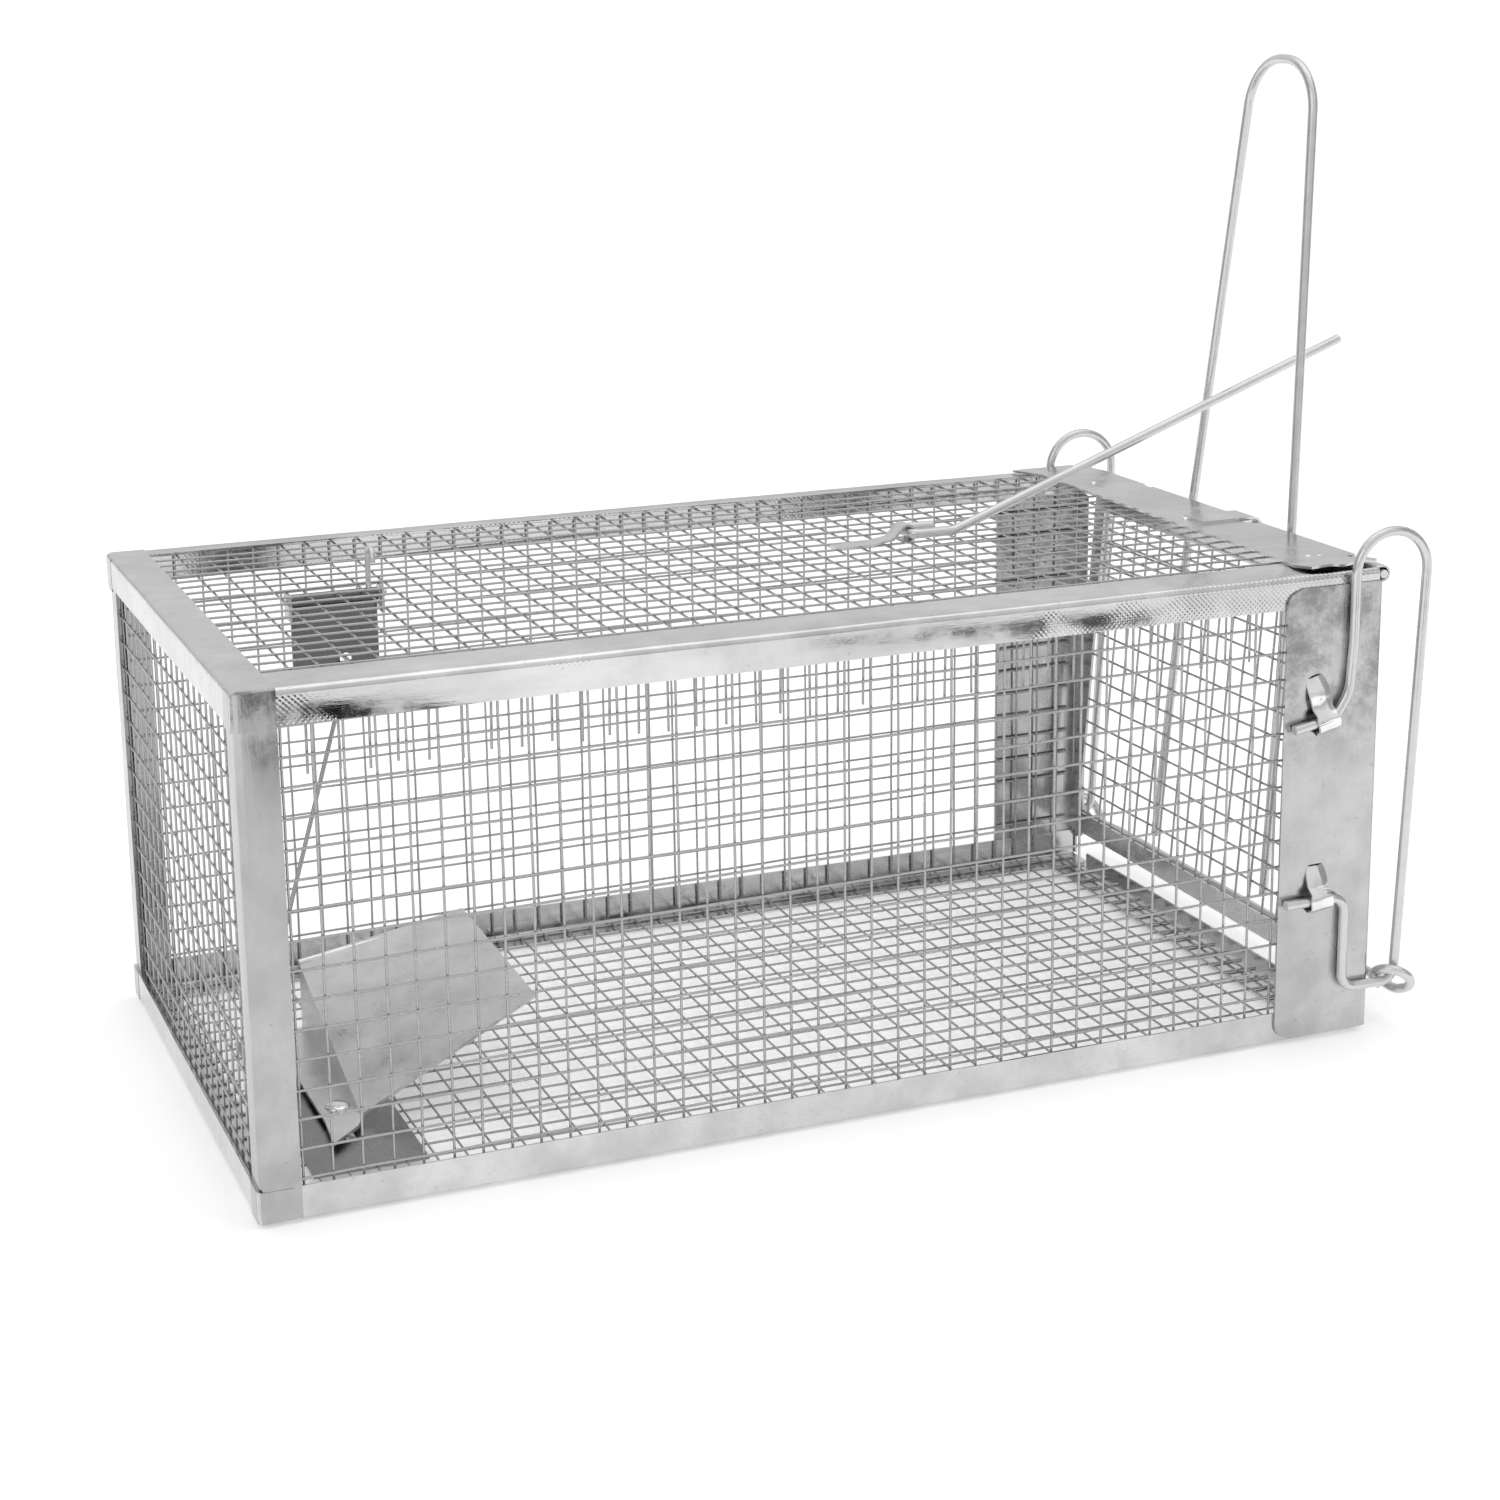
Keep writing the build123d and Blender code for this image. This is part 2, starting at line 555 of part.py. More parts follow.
arm_end_x = TREADLE_REAR_X - ARM_REACH + 1
arm_end_z = TREADLE_Z + ARM_RISE + 2
link_points = [
    (LINK_HOLE_X, TRIGGER_Y + 4, LINK_HOLE_Z), (LINK_HOLE_X, TRIGGER_Y - 2, LINK_HOLE_Z),
    (arm_end_x, ARM_Y, arm_end_z),
]
save(bent_wire(Plane.XY, link_points, 1.2, LINK_WIRE), "link_wire")
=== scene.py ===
import math
import random

import bpy
from mathutils import Matrix, Vector, noise


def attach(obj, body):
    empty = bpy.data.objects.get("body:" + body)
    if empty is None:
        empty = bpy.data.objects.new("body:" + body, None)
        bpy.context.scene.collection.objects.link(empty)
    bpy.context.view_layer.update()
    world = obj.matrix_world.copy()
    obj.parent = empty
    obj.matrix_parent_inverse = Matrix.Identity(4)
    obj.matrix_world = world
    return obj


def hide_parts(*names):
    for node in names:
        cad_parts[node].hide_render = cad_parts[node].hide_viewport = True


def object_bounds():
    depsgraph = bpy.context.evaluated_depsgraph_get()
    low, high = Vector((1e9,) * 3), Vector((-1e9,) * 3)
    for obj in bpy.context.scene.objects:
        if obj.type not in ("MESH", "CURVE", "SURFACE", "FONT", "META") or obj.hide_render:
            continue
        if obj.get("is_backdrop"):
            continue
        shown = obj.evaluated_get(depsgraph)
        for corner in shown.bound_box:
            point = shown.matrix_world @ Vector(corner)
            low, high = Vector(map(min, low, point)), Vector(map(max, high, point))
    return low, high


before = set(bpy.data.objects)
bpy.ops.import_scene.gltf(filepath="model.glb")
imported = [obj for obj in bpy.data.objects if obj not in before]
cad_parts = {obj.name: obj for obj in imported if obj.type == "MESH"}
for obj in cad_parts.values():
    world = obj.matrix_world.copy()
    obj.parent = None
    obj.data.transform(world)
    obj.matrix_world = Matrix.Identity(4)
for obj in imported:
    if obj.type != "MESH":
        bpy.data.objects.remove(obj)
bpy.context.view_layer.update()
MM = 0.001
random.seed(7)
noise.seed_set(7)

# ---- sizes shared with the CAD model, in millimetres ----
HALF_L, HALF_W, HEIGHT = 132.0, 71.5, 112.0
SHEET = 0.6
WIRE = 2.3
MESH_WIRE = 0.58
PITCH = 6.35
CORNER = 9.2
SHIFT = Vector((-126.0, 0, 0))
HINGE_X, HINGE_Z, DOOR_TILT = 133.6, 110.0, math.radians(4.4)
GUIDE_Y = HALF_W + SHEET + WIRE / 2 + 0.05
SET_IN = 0.12
STRIP_LEG = 7.5
RAIL_START, RAIL_END = -HALF_L + CORNER, HALF_L - 0.15
MESH_X, MESH_Y, MESH_Z = (-129.5, 129.5), (-69, 69), (2.0, 110.0)
MESH_GAP = 0.66
HOOK_X = -82.2
WEAVE = 5200


# ---------------------------------------------------------------- materials
def new_material(name, base, rough, metallic=1.0):
    mat = bpy.data.materials.new(name)
    mat.use_nodes = True
    tree = mat.node_tree
    shader = tree.nodes["Principled BSDF"]
    shader.inputs["Base Color"].default_value = (base, base, base * 1.005, 1)
    shader.inputs["Metallic"].default_value = metallic
    shader.inputs["Roughness"].default_value = rough
    return mat, tree, shader


def noise_node(tree, coords, scale, detail, rough, stretch=None):
    source = coords
    if stretch:
        mapping = tree.nodes.new("ShaderNodeMapping")
        mapping.inputs["Scale"].default_value = stretch
        tree.links.new(coords, mapping.inputs["Vector"])
        source = mapping.outputs["Vector"]
    node = tree.nodes.new("ShaderNodeTexNoise")
    node.inputs["Scale"].default_value = scale
    node.inputs["Detail"].default_value = detail
    node.inputs["Roughness"].default_value = rough
    tree.links.new(source, node.inputs["Vector"])
    return node.outputs["Fac"]


def ramp(tree, value, low, high, out_low, out_high):
    node = tree.nodes.new("ShaderNodeMapRange")
    node.interpolation_type = "SMOOTHSTEP"
    node.inputs["From Min"].default_value = low
    node.inputs["From Max"].default_value = high
    node.inputs["To Min"].default_value = out_low
    node.inputs["To Max"].default_value = out_high
    tree.links.new(value, node.inputs["Value"])
    return node.outputs["Result"]


def math_node(tree, operation, a, b):
    node = tree.nodes.new("ShaderNodeMath")
    node.operation = operation
    for socket, value in zip(node.inputs, (a, b)):
        if isinstance(value, (int, float)):
            socket.default_value = value
        else:
            tree.links.new(value, socket)
    return node.outputs["Value"]


def grey(tree, value):
    node = tree.nodes.new("ShaderNodeCombineColor")
    for socket in node.inputs[:3]:
        tree.links.new(value, socket)
    return node.outputs["Color"]


def bump(tree, shader, height, strength, distance, below=None):
    node = tree.nodes.new("ShaderNodeBump")
    node.inputs["Strength"].default_value = strength
    node.inputs["Distance"].default_value = distance
    tree.links.new(height, node.inputs["Height"])
    if below:
        tree.links.new(below, node.inputs["Normal"])
    tree.links.new(node.outputs["Normal"], shader.inputs["Normal"])
    return node.outputs["Normal"]


def axes_of(tree, coords):
    split = tree.nodes.new("ShaderNodeSeparateXYZ")
    tree.links.new(coords, split.inputs["Vector"])
    return split.outputs


def darkened_above(tree, coords, tone, start, full):
    """The tone, clouded darker above the height where the darkening starts."""
    level = ramp(tree, axes_of(tree, coords)["Z"], start, full, 0.0, 0.45)
    cloud = ramp(tree, noise_node(tree, coords, 130, 8, 0.75), 0.38, 0.62, 0.0, 1.0)
    fade = math_node(tree, "SUBTRACT", 1.0, math_node(tree, "MULTIPLY", level, cloud))
    return math_node(tree, "MULTIPLY", tone, fade)


def emboss(tree, coords, shader, axes, below):
    """A fine cross weave pressed into the sheet, in patches."""
    waves = []
    for axis in axes:
        place = math_node(tree, "MULTIPLY", axes_of(tree, coords)[axis], WEAVE)
        waves.append(math_node(tree, "SINE", place, 0))
    weave = math_node(tree, "MULTIPLY", *waves)
    patch = ramp(tree, noise_node(tree, coords, 34, 2, 0.5), 0.5, 0.6, 0.0, 1.0)
    bump(tree, shader, math_node(tree, "MULTIPLY", weave, patch), 0.16, 0.00012, below)


def galvanised(name, base, rough, grain, embossed=None, darken_band=None):
    """Bright tinned sheet: soft mottle, faint rolling grain, broad smudges and small dark specks."""
    mat, tree, shader = new_material(name, base, rough)
    coords = tree.nodes.new("ShaderNodeTexCoord").outputs["Object"]
    mottle = noise_node(tree, coords, 95, 5, 0.62)
    smudge = noise_node(tree, coords, 22, 3, 0.5)
    rolled = noise_node(tree, coords, 240, 6, 0.7, grain)
    speck = noise_node(tree, coords, 800, 2, 0.5)
    tone = ramp(tree, mottle, 0.3, 0.72, base * 0.88, base * 1.1)
    tone = math_node(tree, "MULTIPLY", tone, ramp(tree, smudge, 0.28, 0.62, 0.9, 1.03))
    tone = math_node(tree, "MULTIPLY", tone, ramp(tree, speck, 0.66, 0.78, 1.0, 0.8))
    if darken_band:
        tone = darkened_above(tree, coords, tone, *darken_band)
    tree.links.new(grey(tree, tone), shader.inputs["Base Color"])
    gloss = ramp(tree, mottle, 0.35, 0.7, rough - 0.06, rough + 0.1)
    gloss = math_node(tree, "ADD", gloss, ramp(tree, rolled, 0.4, 0.65, -0.03, 0.06))
    tree.links.new(gloss, shader.inputs["Roughness"])
    first = bump(tree, shader, rolled, 0.16, 0.00018)
    normal = bump(tree, shader, smudge, 0.06 if embossed else 0.30, 0.0009, first)
    if embossed:
        emboss(tree, coords, shader, embossed, normal)
    return mat


def wire_material(name, base, rough):
    """Drawn galvanised wire: smooth zinc with faint patches and small dark nicks."""
    mat, tree, shader = new_material(name, base, rough)
    shader.inputs["Metallic"].default_value = 0.72
    shader.inputs["Specular IOR Level"].default_value = 0.25
    coords = tree.nodes.new("ShaderNodeTexCoord").outputs["Object"]
    patch = noise_node(tree, coords, 160, 5, 0.65)
    nick = noise_node(tree, coords, 900, 3, 0.55)
    tone = ramp(tree, patch, 0.3, 0.7, base * 0.95, base * 1.05)
    tone = math_node(tree, "MULTIPLY", tone, ramp(tree, nick, 0.66, 0.78, 1.0, 0.7))
    tree.links.new(grey(tree, tone), shader.inputs["Base Color"])
    tree.links.new(ramp(tree, patch, 0.3, 0.7, rough - 0.03, rough + 0.04), shader.inputs["Roughness"])
    bump(tree, shader, nick, 0.05, 0.00006)
    return mat


STEEL = galvanised("tinned_sheet", 0.65, 0.21, grain=(0.15, 1, 1))
# Upright parts take a darker copy of the same tinned sheet: painted shade.
STEEL_UP_SHADED = galvanised("tinned_sheet_upright_painted_shade", 0.47, 0.20, grain=(1, 1, 0.15))
EMBOSSED = galvanised("tinned_sheet_embossed", 0.67, 0.13, grain=(0.15, 1, 1), embossed=(0, 2))
TREADLE = galvanised("tinned_treadle", 0.71, 0.34, grain=(1, 0.2, 1))
# The treadle base is the same tinned sheet, darkened to paint the shade it sits in.
SHADED = galvanised("tinned_base_painted_shade", 0.28, 0.28, grain=(1, 0.2, 1))
# The trigger plate is the same tinned sheet, darkened to paint the dark reflection it shows.
TRIGGER = galvanised("tinned_trigger_painted_reflection", 0.15, 0.24, grain=(1, 1, 0.2))
# The jamb plates take a darker copy of the tinned sheet, which is painted shade; it also clouds darker
# towards the top.
JAMB_SHADED = galvanised("tinned_jamb_painted_shade", 0.52, 0.22, grain=(1, 1, 0.15), darken_band=(0.060, 0.088))
# Tabs, studs, rivet and rolled lip take a brighter copy of the sheet: painted highlight.
HIGHLIGHT_PAINTED = galvanised("painted_highlight_sheet", 0.86, 0.14, grain=(1, 1, 0.3))
HEAVY_WIRE = wire_material("zinc_wire", 0.64, 0.17)
THIN_WIRE = wire_material("zinc_mesh_wire", 0.44, 0.25)


def paint(obj, mat):
    obj.data.materials.clear()
    obj.data.materials.append(mat)


# ---------------------------------------------------------------- geometry helpers
def link(name, data, body, slot, *nodes):
    obj = bpy.data.objects.new(name, data)
    bpy.context.collection.objects.link(obj)
    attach(obj, body)
    if nodes:
        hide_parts(*nodes)
    return obj


def wires(name, lines, diameter, mat, body, slot, *nodes, sides):
    """One curve object holding many round wires; each line is a list of points in millimetres."""
    curve = bpy.data.curves.new(name, "CURVE")
    curve.dimensions = "3D"
    curve.bevel_depth = diameter / 2 * MM
    curve.bevel_resolution = sides
    curve.use_fill_caps = True
    for line in lines:
        spline = curve.splines.new("POLY")
        spline.points.add(len(line) - 1)
        for point, place in zip(spline.points, line):
            point.co = (*((Vector(place) + SHIFT) * MM), 1)
    curve.materials.append(mat)
    return link(name, curve, body, slot, *nodes)


def rounded(points, radii, steps=6):
    """A polyline with each inner corner turned into an arc of that radius."""
    points = [Vector(p) for p in points]
    out = [points[0]]
    for before, corner, after, radius in zip(points, points[1:], points[2:], radii):
        a, b = (before - corner).normalized(), (after - corner).normalized()
        half = a.angle(b) / 2
        reach = radius / math.tan(half)
        middle = corner + (a + b).normalized() * (radius / math.sin(half))
        start, end = corner + a * reach - middle, corner + b * reach - middle
        turn = start.angle(end)
        for k in range(steps + 1):
            t = k / steps
            mix = (start * math.sin((1 - t) * turn) + end * math.sin(t * turn)) / math.sin(turn)
            out.append(middle + mix)
    out.append(points[-1])
    return out


def wobble(place, size, reach):
    return noise.noise_vector(Vector(place) * reach) * size


def mesh_object(name, verts, faces, mat, body, slot, *nodes, sharp=40):
    data = bpy.data.meshes.new(name)
    data.from_pydata([tuple((Vector(v) + SHIFT) * MM) for v in verts], [], faces)
    data.validate()
    data.polygons.foreach_set("use_smooth", [True] * len(data.polygons))
    data.set_sharp_from_angle(angle=math.radians(sharp))
    data.materials.append(mat)
    return link(name, data, body, slot, *nodes)


def folded(name, outer, radii, inward, place, start, end, mat, body, slot, *nodes,
           thick=SHEET, step=6.0, uneven=0.10):
    """A folded strip: its outer profile is offset by the sheet's thickness and run along one axis."""
    line = [v.to_2d() for v in rounded([(*p, 0) for p in outer], radii)]
    inner = []
    for k, p in enumerate(line):
        run = line[min(k + 1, len(line) - 1)] - line[max(k - 1, 0)]
        across = Vector((-run.y, run.x)).normalized() * inward * thick
        inner.append(p + across)
    ring = line + inner[::-1]
    count = max(2, int(abs(end - start) / step))
    verts, faces = [], []
    for i in range(count + 1):
        w = start + (end - start) * i / count
        for p in ring:
            spot = Vector(place(p.x, p.y, w))
            verts.append(spot + wobble(spot, uneven, 0.045))
    n = len(ring)
    for i in range(count):
        for k in range(n):
            a, b = i * n + k, i * n + (k + 1) % n
            faces.append((a, b, b + n, a + n))
    half = len(line)
    for base in (0, count * n):
        for k in range(half - 1):
            faces.append((base + k, base + k + 1, base + n - 2 - k, base + n - 1 - k))
    return mesh_object(name, verts, faces, mat, body, slot, *nodes)


def along_x(u, v, w):
    return (w, u, v)


def along_y(u, v, w):
    return (u, w, v)


def along_z(u, v, w):
    return (u, v, w)


# ---------------------------------------------------------------- welded mesh at its real pitch
def panel(name, body, node, origin, right, up, normal, us, vs, u_span, v_span, rise=0.0, bend=0.16):
    """Round wires one way, and round wires the other way just behind them, each a little uneven."""
    origin, right, up, normal = (Vector(v) for v in (origin, right, up, normal))
    lines = []
    layer = MESH_WIRE / 2 * 0.86

    def spot(u, v, depth):
        place = origin + right * u + up * v
        slack = wobble(place, bend, 0.06)
        return place + (right * slack.x + up * slack.y) + normal * (depth + slack.z * 0.25)

    for v in vs:
        points = [u_span[0]] + [u for u in us if u_span[0] < u < u_span[1]] + [u_span[1]]
        shift = random.uniform(-0.12, 0.12)
        lines.append([spot(u, v + rise * (u - us[0]) + shift, layer) for u in points])
    for u in us:
        points = [v_span[0]] + [v for v in vs if v_span[0] < v < v_span[1]] + [v_span[1]]
        shift = random.uniform(-0.12, 0.12)
        lines.append([spot(u + shift, v, -layer) for v in points])
    wires(name, lines, MESH_WIRE, THIN_WIRE, body, "mesh", node, sides=1)


side_u = [-128.5 + PITCH * i for i in range(41)]
side_v = sorted(103.85 - PITCH * j for j in range(16))
for side, name in ((-1, "front"), (1, "back")):
    face = side * (HALF_W - SHEET - MESH_WIRE - 0.05)
    panel(f"{name}_mesh_wires", "cage", f"{name}_mesh", (0, face, 0), (1, 0, 0), (0, 0, 1),
          (0, side, 0), side_u, side_v, MESH_X, MESH_Z, rise=0.013)
cross_u = [-66.7 + PITCH * i for i in range(22)]
panel("rear_mesh_wires", "cage", "rear_mesh", (-HALF_L + 2.0, 0, 0), (0, 1, 0), (0, 0, 1),
      (-1, 0, 0), cross_u, side_v, MESH_Y, MESH_Z)
panel("floor_mesh_wires", "cage", "floor_mesh", (0, 0, SHEET + MESH_GAP), (1, 0, 0), (0, 1, 0),
      (0, 0, -1), side_u, cross_u, MESH_X, MESH_Y)


def roof_wires():
    """The roof panel, one wire eased past the trigger hook, and its ends folded down inside the front."""
    top = HEIGHT - SHEET - MESH_GAP
    ease_aside, ease_reach = 0.9, 7.0
    lines = []
    for y in cross_u:
        shift = random.uniform(-0.12, 0.12)
        ease = ease_aside if 14.0 < y < 17.0 else 0.0
        points = []
        for x in [MESH_X[0]] + side_u[1:-1] + [MESH_X[1]]:
            aside = ease * math.exp(-((x - HOOK_X) / ease_reach) ** 2)
            points.append(Vector((x, y + shift + aside, top + 0.28)) + wobble((x, y, 9), 0.14, 0.06))
        lines.append(points)
    for x in side_u:
        ys = [MESH_Y[0]] + cross_u + [MESH_Y[1]]
        shift = random.uniform(-0.12, 0.12)
        lines.append([Vector((x + shift, y, top - 0.28)) + wobble((x, y, 9), 0.14, 0.06) for y in ys])
    wires("top_mesh_wires", lines, MESH_WIRE, THIN_WIRE, "cage", "mesh", "top_mesh", sides=1)
    ends = []
    for x in side_u[1:37]:
        foot = 93.2 + random.uniform(-0.7, 0.7)
        drift = random.uniform(-0.5, 0.2)
        left = x - 1.0 + random.uniform(-0.25, 0.25)
        bend = (left + drift * 0.3, -68.9, 107.5)
        ends.append([(left, -68.0, top - 0.5), bend, (left + drift, -69.0, foot)])
    wires("folded_wire_ends", ends, MESH_WIRE, THIN_WIRE, "cage", "mesh", sides=1)


roof_wires()

# ---------------------------------------------------------------- edge rails and corner posts
for side, name, leg in ((-1, "front", 12.8), (1, "back", 6.8)):
    edge, top = side * (HALF_W - SET_IN), HEIGHT - SET_IN
    folded(f"{name}_top_rail_sheet", [(edge, HEIGHT - 7.7), (edge, top), (edge - side * leg, top)],
           [1.5], side, along_x, RAIL_START, RAIL_END,
           EMBOSSED, "cage", "sheet", f"{name}_top_rail")
    folded(f"{name}_bottom_rail_sheet", [(edge, 7.6), (edge, SET_IN), (edge - side * 8.8, SET_IN)],
           [1.1], -side, along_x, RAIL_START, RAIL_END,
           STEEL, "cage", "sheet", f"{name}_bottom_rail")
    rear = -HALF_L + SHEET + 0.1
    folded(f"{name}_rear_post_sheet", [(RAIL_START, edge), (rear, edge), (rear, edge - side * STRIP_LEG)],
           [1.4], side, along_z, SHEET, HEIGHT - SHEET,
           STEEL_UP_SHADED, "cage", "sheet", f"{name}_rear_post")

# ---------------------------------------------------------------- rear strips and the flaps round their ends
rear = -HALF_L + SET_IN
for name, level, way in (("rear_top_strip", HEIGHT - SET_IN, -1), ("rear_bottom_strip", SET_IN, 1)):
    folded(f"{name}_sheet", [(RAIL_START, level), (rear, level), (rear, level + way * STRIP_LEG)],
           [1.4], -way, along_y, -HALF_W + 0.25, HALF_W - 0.25,
           STEEL, "cage", "sheet", name)

rear = -HALF_L + 0.04
for side, name in ((-1, "front"), (1, "back")):
    skin = side * (HALF_W + 0.02)
    for level, low, high in (("top", 103.6, HEIGHT - 0.6), ("bottom", 0.5, 7.4)):
        folded(f"{name}_{level}_corner_flap", [(-124.2, skin), (rear, skin), (rear, side * 65.0)],
               [1.6], side, along_z, low, high,
               STEEL_UP_SHADED, "cage", "sheet", thick=0.35, uneven=0.05, step=2.0)

# ---------------------------------------------------------------- finish the CAD parts that keep their shape
# The door stiles and trigger hanger take the darker upright copy of the sheet, which is painted shade.
for node, mat in (
    ("door_sill", STEEL), ("trigger_hanger", STEEL_UP_SHADED), ("trigger_plate", TRIGGER),
    ("hinge_strap", STEEL), ("treadle_base", SHADED), ("treadle_plate", TREADLE),
    ("door_top_rail", STEEL), ("door_bottom_rail", STEEL), ("door_front_stile", STEEL_UP_SHADED),
    ("door_back_stile", STEEL_UP_SHADED), ("bail", HEAVY_WIRE), ("lock_bar", HEAVY_WIRE),
    ("latch_rod", HEAVY_WIRE), ("trigger_hook", HEAVY_WIRE), ("link_wire", THIN_WIRE),
    ("hinge_pin", HEAVY_WIRE), ("trigger_pin", HEAVY_WIRE),
):
    paint(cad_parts[node], mat)

# ---------------------------------------------------------------- guide wires
STEM_X, CREST_X, FOOT_X = 124.2, 143.7, 138.6
CREST_Z, FOOT_Z = 120.6, 12.0
for side, name in ((-1, "front"), (1, "back")):
    y = side * GUIDE_Y
    corners = [(109.0, y, 76.4), (119.6, y, 78.2), (123.4, y, 84.0), (STEM_X, y, 96.0),
               (STEM_X, y, CREST_Z), (CREST_X, y, CREST_Z),
               (FOOT_X, y, FOOT_Z), (STEM_X, y, FOOT_Z), (STEM_X, y, 34.5), (108.2, y, 34.5)]
    route = rounded(corners, [5.0, 10.0, 40.0, 9.4, 9.4, 3.5, 3.5, 3.5], steps=10)
    wires(f"{name}_guide_bow", [route], WIRE, HEAVY_WIRE, "cage", "wire", f"{name}_guide_wire", sides=5)


# ---------------------------------------------------------------- jamb plates with lanced tabs
def corner_cut(near):
    """How far the plate's rounded corner stands back, at this distance from its top or bottom edge."""
    radius = 4.0
    if near >= radius:
        return 0.0
    return radius - math.sqrt(max(0.0, radius ** 2 - (radius - near) ** 2))


def dented(x, z):
    """Depth of the shallow dents round the two tabs and the guide wire's foot."""
    depth = 0.0
    for dent_x, dent_z in ((117.0, 79.0), (117.0, 35.0), (121.5, 16.0)):
        away = math.hypot(x - dent_x, (z - dent_z) * 0.8)
        depth += 0.30 * math.exp(-(away / 6.0) ** 2)
    return depth


def plate_section(z, side, left, skin, right):
    """The plate's outline at one height: its flat face, the fold and the return lip, then back."""
    lip = 4.4 if 6.0 < z < 105.0 else 0.7
    outer = rounded([(left, skin, 0), (right, skin, 0), (right, skin - side * (1.3 + lip), 0)], [1.1])
    flat_run = [outer[0].lerp(outer[1], k / 10) for k in range(10)]
    line = flat_run + outer[1:]
    back = []
    for k, p in enumerate(line):
        run = line[min(k + 1, len(line) - 1)] - line[max(k - 1, 0)]
        back.append(p + Vector((run.y, -run.x, 0)).normalized() * (SHEET - 0.03) * side)
    return line + back[::-1]


def jamb_plate(name, side):
    """A plate wrapped round the corner: rounded left corners, a soft fold, and dents by the tabs."""
    left, right, bottom, top = 107.1, 132.55, 1.0, 109.0
    skin = side * (HALF_W + SHEET - 0.02)
    verts, faces = [], []
    rows = 90
    for i in range(rows + 1):
        z = bottom + (top - bottom) * i / rows
        cut = corner_cut(min(z - bottom, top - z))
        for p in plate_section(z, side, left + cut, skin, right):
            spot = Vector((p.x, p.y, z))
            push = wobble(spot, 0.16, 0.055)
            inward = -side * (dented(p.x, z) + abs(push.y))
            verts.append(spot + Vector((push.x * 0.4, inward, 0)))
    n = len(verts) // (rows + 1)
    for i in range(rows):
        for k in range(n):
            a, b = i * n + k, i * n + (k + 1) % n
            faces.append((a, b, b + n, a + n))
    half = n // 2
    for base in (0, rows * n):
        for k in range(half - 1):
            faces.append((base + k, base + k + 1, base + n - 2 - k, base + n - 1 - k))
    mesh_object(f"{name}_jamb_sheet", verts, faces, JAMB_SHADED, "cage", "sheet", f"{name}_jamb_plate", sharp=50)


def lanced_tab(name, side, x, z, lean, reach):
    """A lance cut from the plate: it rises over the wire, is hammered round it and tucks back."""
    skin = HALF_W + SHEET
    over = WIRE + 0.75
    path = [(0.0, reach), (0.35, reach - 1.2), (1.15, reach - 3.0), (1.5, reach - 5.0), (1.6, 3.4),
            (over - 0.3, 2.1), (over + 0.15, 1.0), (over + 0.2, -0.2), (over, -1.3), (over - 0.9, -2.1),
            (1.2, -2.5), (0.2, -3.2)]
    widths = [2.0, 2.5, 2.6, 2.6, 2.5, 2.6, 2.8, 2.9, 2.8, 2.6, 2.4, 2.2]
    verts, faces = [], []
    across = 7
    for layer in (0.0, -0.55):
        for (out, up), half in zip(path, widths):
            for k in range(across):
                t = k / (across - 1) * 2 - 1
                crown = 0.55 * (1 - t * t) if up > 2.5 else 0.12 * (1 - t * t)
                u = t * half
                px = x + u * math.cos(lean) - up * math.sin(lean)
                pz = z + up * math.cos(lean) + u * math.sin(lean)
                depth = max(skin - 0.3, skin + out + crown + layer - 0.2)
                spot = Vector((px, side * depth, pz))
                verts.append(spot + wobble(spot, 0.22, 0.42))
    n, rows = across, len(path)
    size = rows * n
    for i in range(rows - 1):
        for k in range(n - 1):
            a = i * n + k
            faces.append((a, a + 1, a + n + 1, a + n))
            faces.append((size + a, size + a + n, size + a + n + 1, size + a + 1))
        for edge in (0, n - 1):
            a = i * n + edge
            faces.append((a, a + n, size + a + n, size + a))
    # The tab is drawn in the brighter sheet, a painted highlight.
    mesh_object(name, verts, faces, HIGHLIGHT_PAINTED, "cage", "sheet", sharp=55)


for side, name in ((-1, "front"), (1, "back")):
    jamb_plate(name, side)
    lanced_tab(f"{name}_upper_lance", side, 117.4, 77.6, math.radians(14), 11.0)
    lanced_tab(f"{name}_lower_lance", side, 117.2, 34.5, math.radians(4), 8.4)

# ---------------------------------------------------------------- top end plate, studs and knuckles
END_OUTLINE = [(114.6, -69.6), (119.0, -70.6), (126.0, -70.2), (132.0, -69.4), (133.2, -68.0), (133.2, -63.2),
               (130.4, -62.6), (130.4, -60.0), (133.2, -59.4), (133.2, -19.4), (129.8, -18.6), (129.8, -15.8),
               (133.2, -15.0), (133.2, 33.0), (132.3, 33.2), (132.3, 37.0), (133.2, 37.2), (133.2, 60.0),
               (129.0, 70.3), (117.0, 70.4), (111.0, 70.2), (115.2, 61.0), (114.7, 30.0), (114.6, 0.0),
               (114.7, -40.0), (114.3, -58.0), (113.2, -64.0)]


def end_plate():
    """The flat plate, notched at its door edge, with its near end hammered up off the rail."""
    dense = []
    for a, b in zip(END_OUTLINE, END_OUTLINE[1:] + END_OUTLINE[:1]):
        steps = max(1, int((Vector(b) - Vector(a)).length / 3))
        dense += [Vector(a).lerp(Vector(b), k / steps) for k in range(steps)]
    verts = []
    for level in (HEIGHT + SHEET, HEIGHT + 0.04):
        for p in dense:
            lift = (0.9 + 0.35 * math.sin(p.x * 0.8)) * math.exp(-((p.y + 70.6) / 5.0) ** 2)
            verts.append((p.x, p.y, level + lift))
    n = len(dense)
    faces = [tuple(range(n)), tuple(range(2 * n - 1, n - 1, -1))]
    faces += [(k, k + n, (k + 1) % n + n, (k + 1) % n) for k in range(n)]
    mesh_object("top_end_sheet", verts, faces, STEEL, "cage", "sheet", "top_end_plate")


end_plate()


